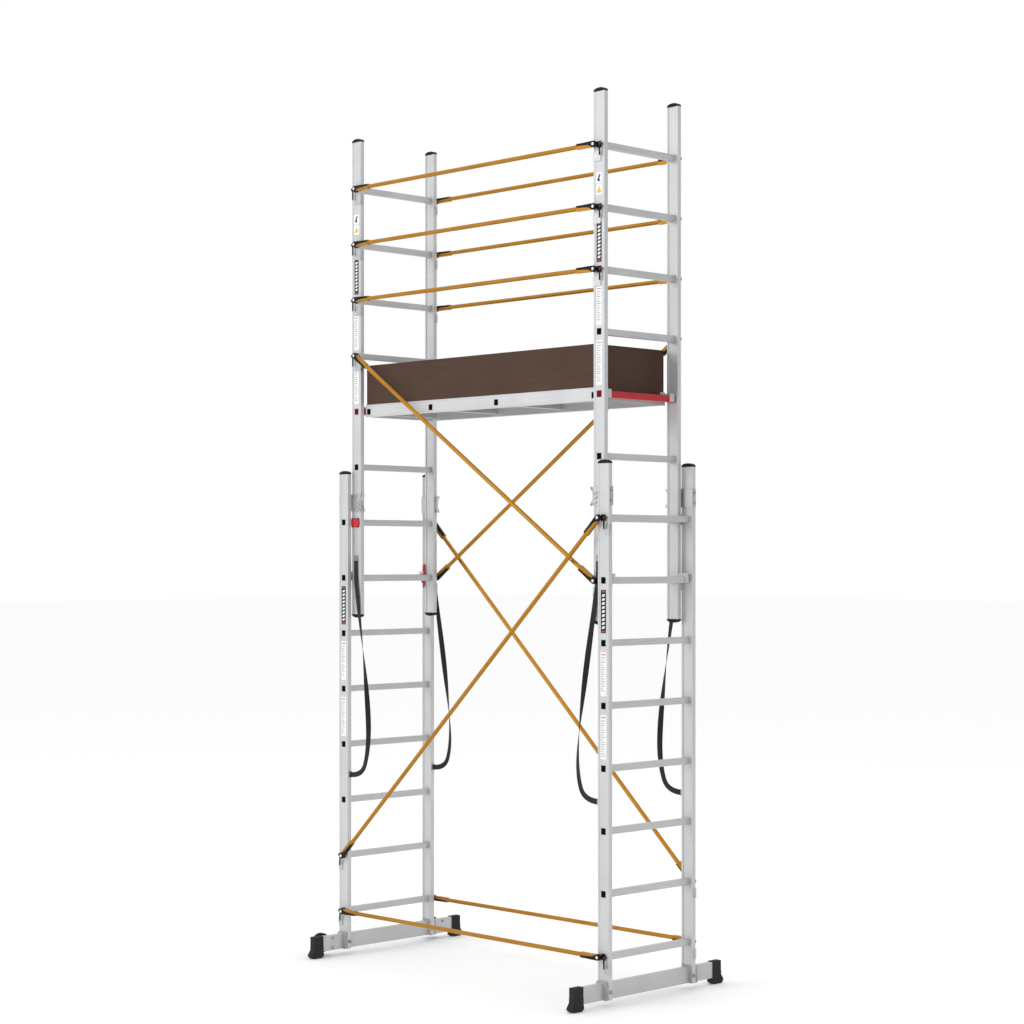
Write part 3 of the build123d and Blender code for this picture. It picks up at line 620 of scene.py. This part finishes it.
def vinyl(name, colour):
    finish = Finish(name, roughness=0.32, Specular_IOR_Level=0.4)
    haze = finish.noise(size=60, detail=3)
    finish.set(Base_Color=finish.colours(haze, (0.3, tuple(0.9 * c for c in colour)),
                                         (0.7, colour)),
               Roughness=0.27 + haze * 0.12)
    finish.bump(haze, 0.0001, 0.2)
    return finish


def slanted(plate, amount):
    """Slide a plate's top edge sideways, so that it leans."""
    low = min(vertex.co.z for vertex in plate.data.vertices)
    high = max(vertex.co.z for vertex in plate.data.vertices)
    for vertex in plate.data.vertices:
        vertex.co.x += amount * (vertex.co.z - low) / (high - low)
    return plate


def rows_of_marks(x, y, low, high, width, pitch=0.0105):
    """Short grey bars of uneven length, row under row."""
    marks = []
    count = int((high - low) / pitch)
    for row in range(count):
        share = (0.86, 0.62, 0.78, 0.40, 0.70)[row % 5]
        z = high - (row + 0.5) * pitch
        left = x - width / 2
        marks.append(flat_plate(left + share * width / 2, z, share * width, pitch * 0.34, y,
                                print_thickness, 0.0006))
    return marks


vinyl_black = vinyl("vinyl_black", (0.012, 0.012, 0.013))
vinyl_white = vinyl("vinyl_white", (0.86, 0.86, 0.86))
vinyl_grey = vinyl("vinyl_grey", (0.36, 0.36, 0.37))
vinyl_red = vinyl("vinyl_red", (0.55, 0.05, 0.05))
vinyl_yellow = vinyl("vinyl_yellow", (0.80, 0.52, 0.03))
label_thickness = 0.0003
print_thickness = 0.0001
sections = {
    "lower": (0.903, -0.292, ((1.664, 1.857),), ((1.383, 1.579), (1.101, 1.298)), True),
    "upper": (0.8437, -0.2575, ((3.328, 3.510),), ((3.046, 3.220), (2.776, 2.978)), False)}
for section, (stile_x, recess_y, dark_spans, pale_spans, header) in sections.items():
    top_y = recess_y - label_thickness
    for ladder, side_x in (("left", -1), ("right", 1)):
        x = stile_x * side_x
        blacks, whites, greys, reds, yellows = [], [], [], [], []
        for low, high in dark_spans:
            middle = (low + high) / 2
            blacks.append(flat_plate(x, middle, 0.032, high - low, recess_y, label_thickness,
                                     0.002))
            for step in range(9):
                z = low + (step + 1.4) * (high - low) / 10.8
                whites.append(slanted(flat_plate(x - 0.003, z, 0.015, 0.0105, top_y,
                                                 print_thickness, 0.001), 0.006))
            for end in (low + 0.007, high - 0.007):
                reds.append(flat_plate(x, end, 0.022, 0.005, top_y, print_thickness, 0.0008))
        for low, high in pale_spans:
            middle = (low + high) / 2
            whites.append(flat_plate(x, middle, 0.036, high - low, recess_y, label_thickness,
                                     0.002))
            greys += rows_of_marks(x, top_y, low + 0.008, high - 0.020, 0.028)
            strip = flat_plate(x, high - 0.011, 0.026, 0.0045, top_y, print_thickness, 0.0008)
            (reds if header else greys).append(strip)
        if section == "upper":
            for low, high in ((3.682, 3.731), (3.630, 3.678)):
                whites.append(flat_plate(x, (low + high) / 2, 0.040, high - low, recess_y,
                                         label_thickness, 0.002))
            blacks.append(slanted(flat_plate(x - 0.004, 3.712, 0.010, 0.022, top_y,
                                             print_thickness, 0.002), 0.009))
            blacks.append(slanted(flat_plate(x, 3.697, 0.016, 0.010, top_y, print_thickness,
                                             0.002), -0.005))
            bpy.ops.object.select_all(action="DESELECT")
            bpy.ops.mesh.primitive_cylinder_add(vertices=3, radius=0.019, depth=print_thickness,
                                                location=(x, top_y - print_thickness / 2, 3.650),
                                                rotation=(math.pi / 2, 0, 0))
            bpy.ops.object.transform_apply(location=True, rotation=True, scale=True)
            bpy.ops.object.mode_set(mode="EDIT")
            bpy.ops.mesh.select_all(action="SELECT")
            bpy.ops.mesh.bevel(offset=0.00002, segments=2)
            bpy.ops.object.mode_set(mode="OBJECT")
            yellows.append(bpy.context.object)
        for colour, parts, finish, slot in (
                ("black", blacks, vinyl_black, "black_plastic"),
                ("white", whites, vinyl_white, "light_grey_plastic"),
                ("grey", greys, vinyl_grey, "dark_grey_plastic"),
                ("red", reds, vinyl_red, "red_plastic"),
                ("yellow", yellows, vinyl_yellow, "light_grey_plastic")):
            if parts:
                name = f"{section}_label_{colour}_{ladder}"
                whole = joined(name, parts)
                give(name, finish)
                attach(whole, f"{section}_section")

# Studio: a pale floor under a white sky, two soft lights, a grey card, hidden from the camera,
# that darkens the faces turned to +X, and the camera.

bpy.ops.object.select_all(action="DESELECT")
bpy.ops.mesh.primitive_plane_add(size=160, location=(0, 0, 0))
floor = bpy.context.object
floor.name = "studio_floor"
floor_finish = Finish("studio_floor", roughness=0.9)
floor_finish.set(Base_Color=(0.97, 0.97, 0.97, 1))
floor.data.materials.append(floor_finish.material)

world = bpy.data.worlds.new("studio")
world.use_nodes = True
sky = world.node_tree.nodes["Background"]
sky.inputs["Color"].default_value = (1, 1, 1, 1)
sky.inputs["Strength"].default_value = 1.0
bpy.context.scene.world = world
bpy.context.scene.view_settings.view_transform = "Standard"


def soft_light(name, place, target, size, watts):
    light = bpy.data.lights.new(name, "AREA")
    light.shape = "DISK"
    light.size = size
    light.energy = watts
    lamp = bpy.data.objects.new(name, light)
    lamp.location = place
    lamp.rotation_euler = (Vector(target) - Vector(place)).to_track_quat("-Z", "Y").to_euler()
    bpy.context.collection.objects.link(lamp)


bpy.ops.object.select_all(action="DESELECT")
bpy.ops.mesh.primitive_plane_add(size=6, location=(7.0, 2.5, 4.4),
                                 rotation=(0, math.radians(-90), math.radians(12)))
shade = bpy.context.object
shade.name = "studio_shade"
shade_finish = Finish("studio_shade", roughness=0.9)
shade_finish.set(Base_Color=(0.16, 0.16, 0.16, 1))
shade.data.materials.append(shade_finish.material)
shade.visible_camera = False
soft_light("front_light", (-3.5, -9.0, 5.5), (0, 0, 2.0), 4.0, 190)
soft_light("top_light", (1.0, 1.0, 9.0), (0, 0, 0), 5.0, 120)

camera_data = bpy.data.cameras.new("camera")
camera_data.lens = 76.85
camera_data.sensor_width = 36
camera_data.shift_y = 0.0452
camera_data.clip_end = 400
camera = bpy.data.objects.new("camera", camera_data)
camera.location = (7.6139, -7.3737, 1.998)
camera.rotation_euler = (math.radians(90), 0, math.radians(45.855))
bpy.context.collection.objects.link(camera)
bpy.context.scene.camera = camera
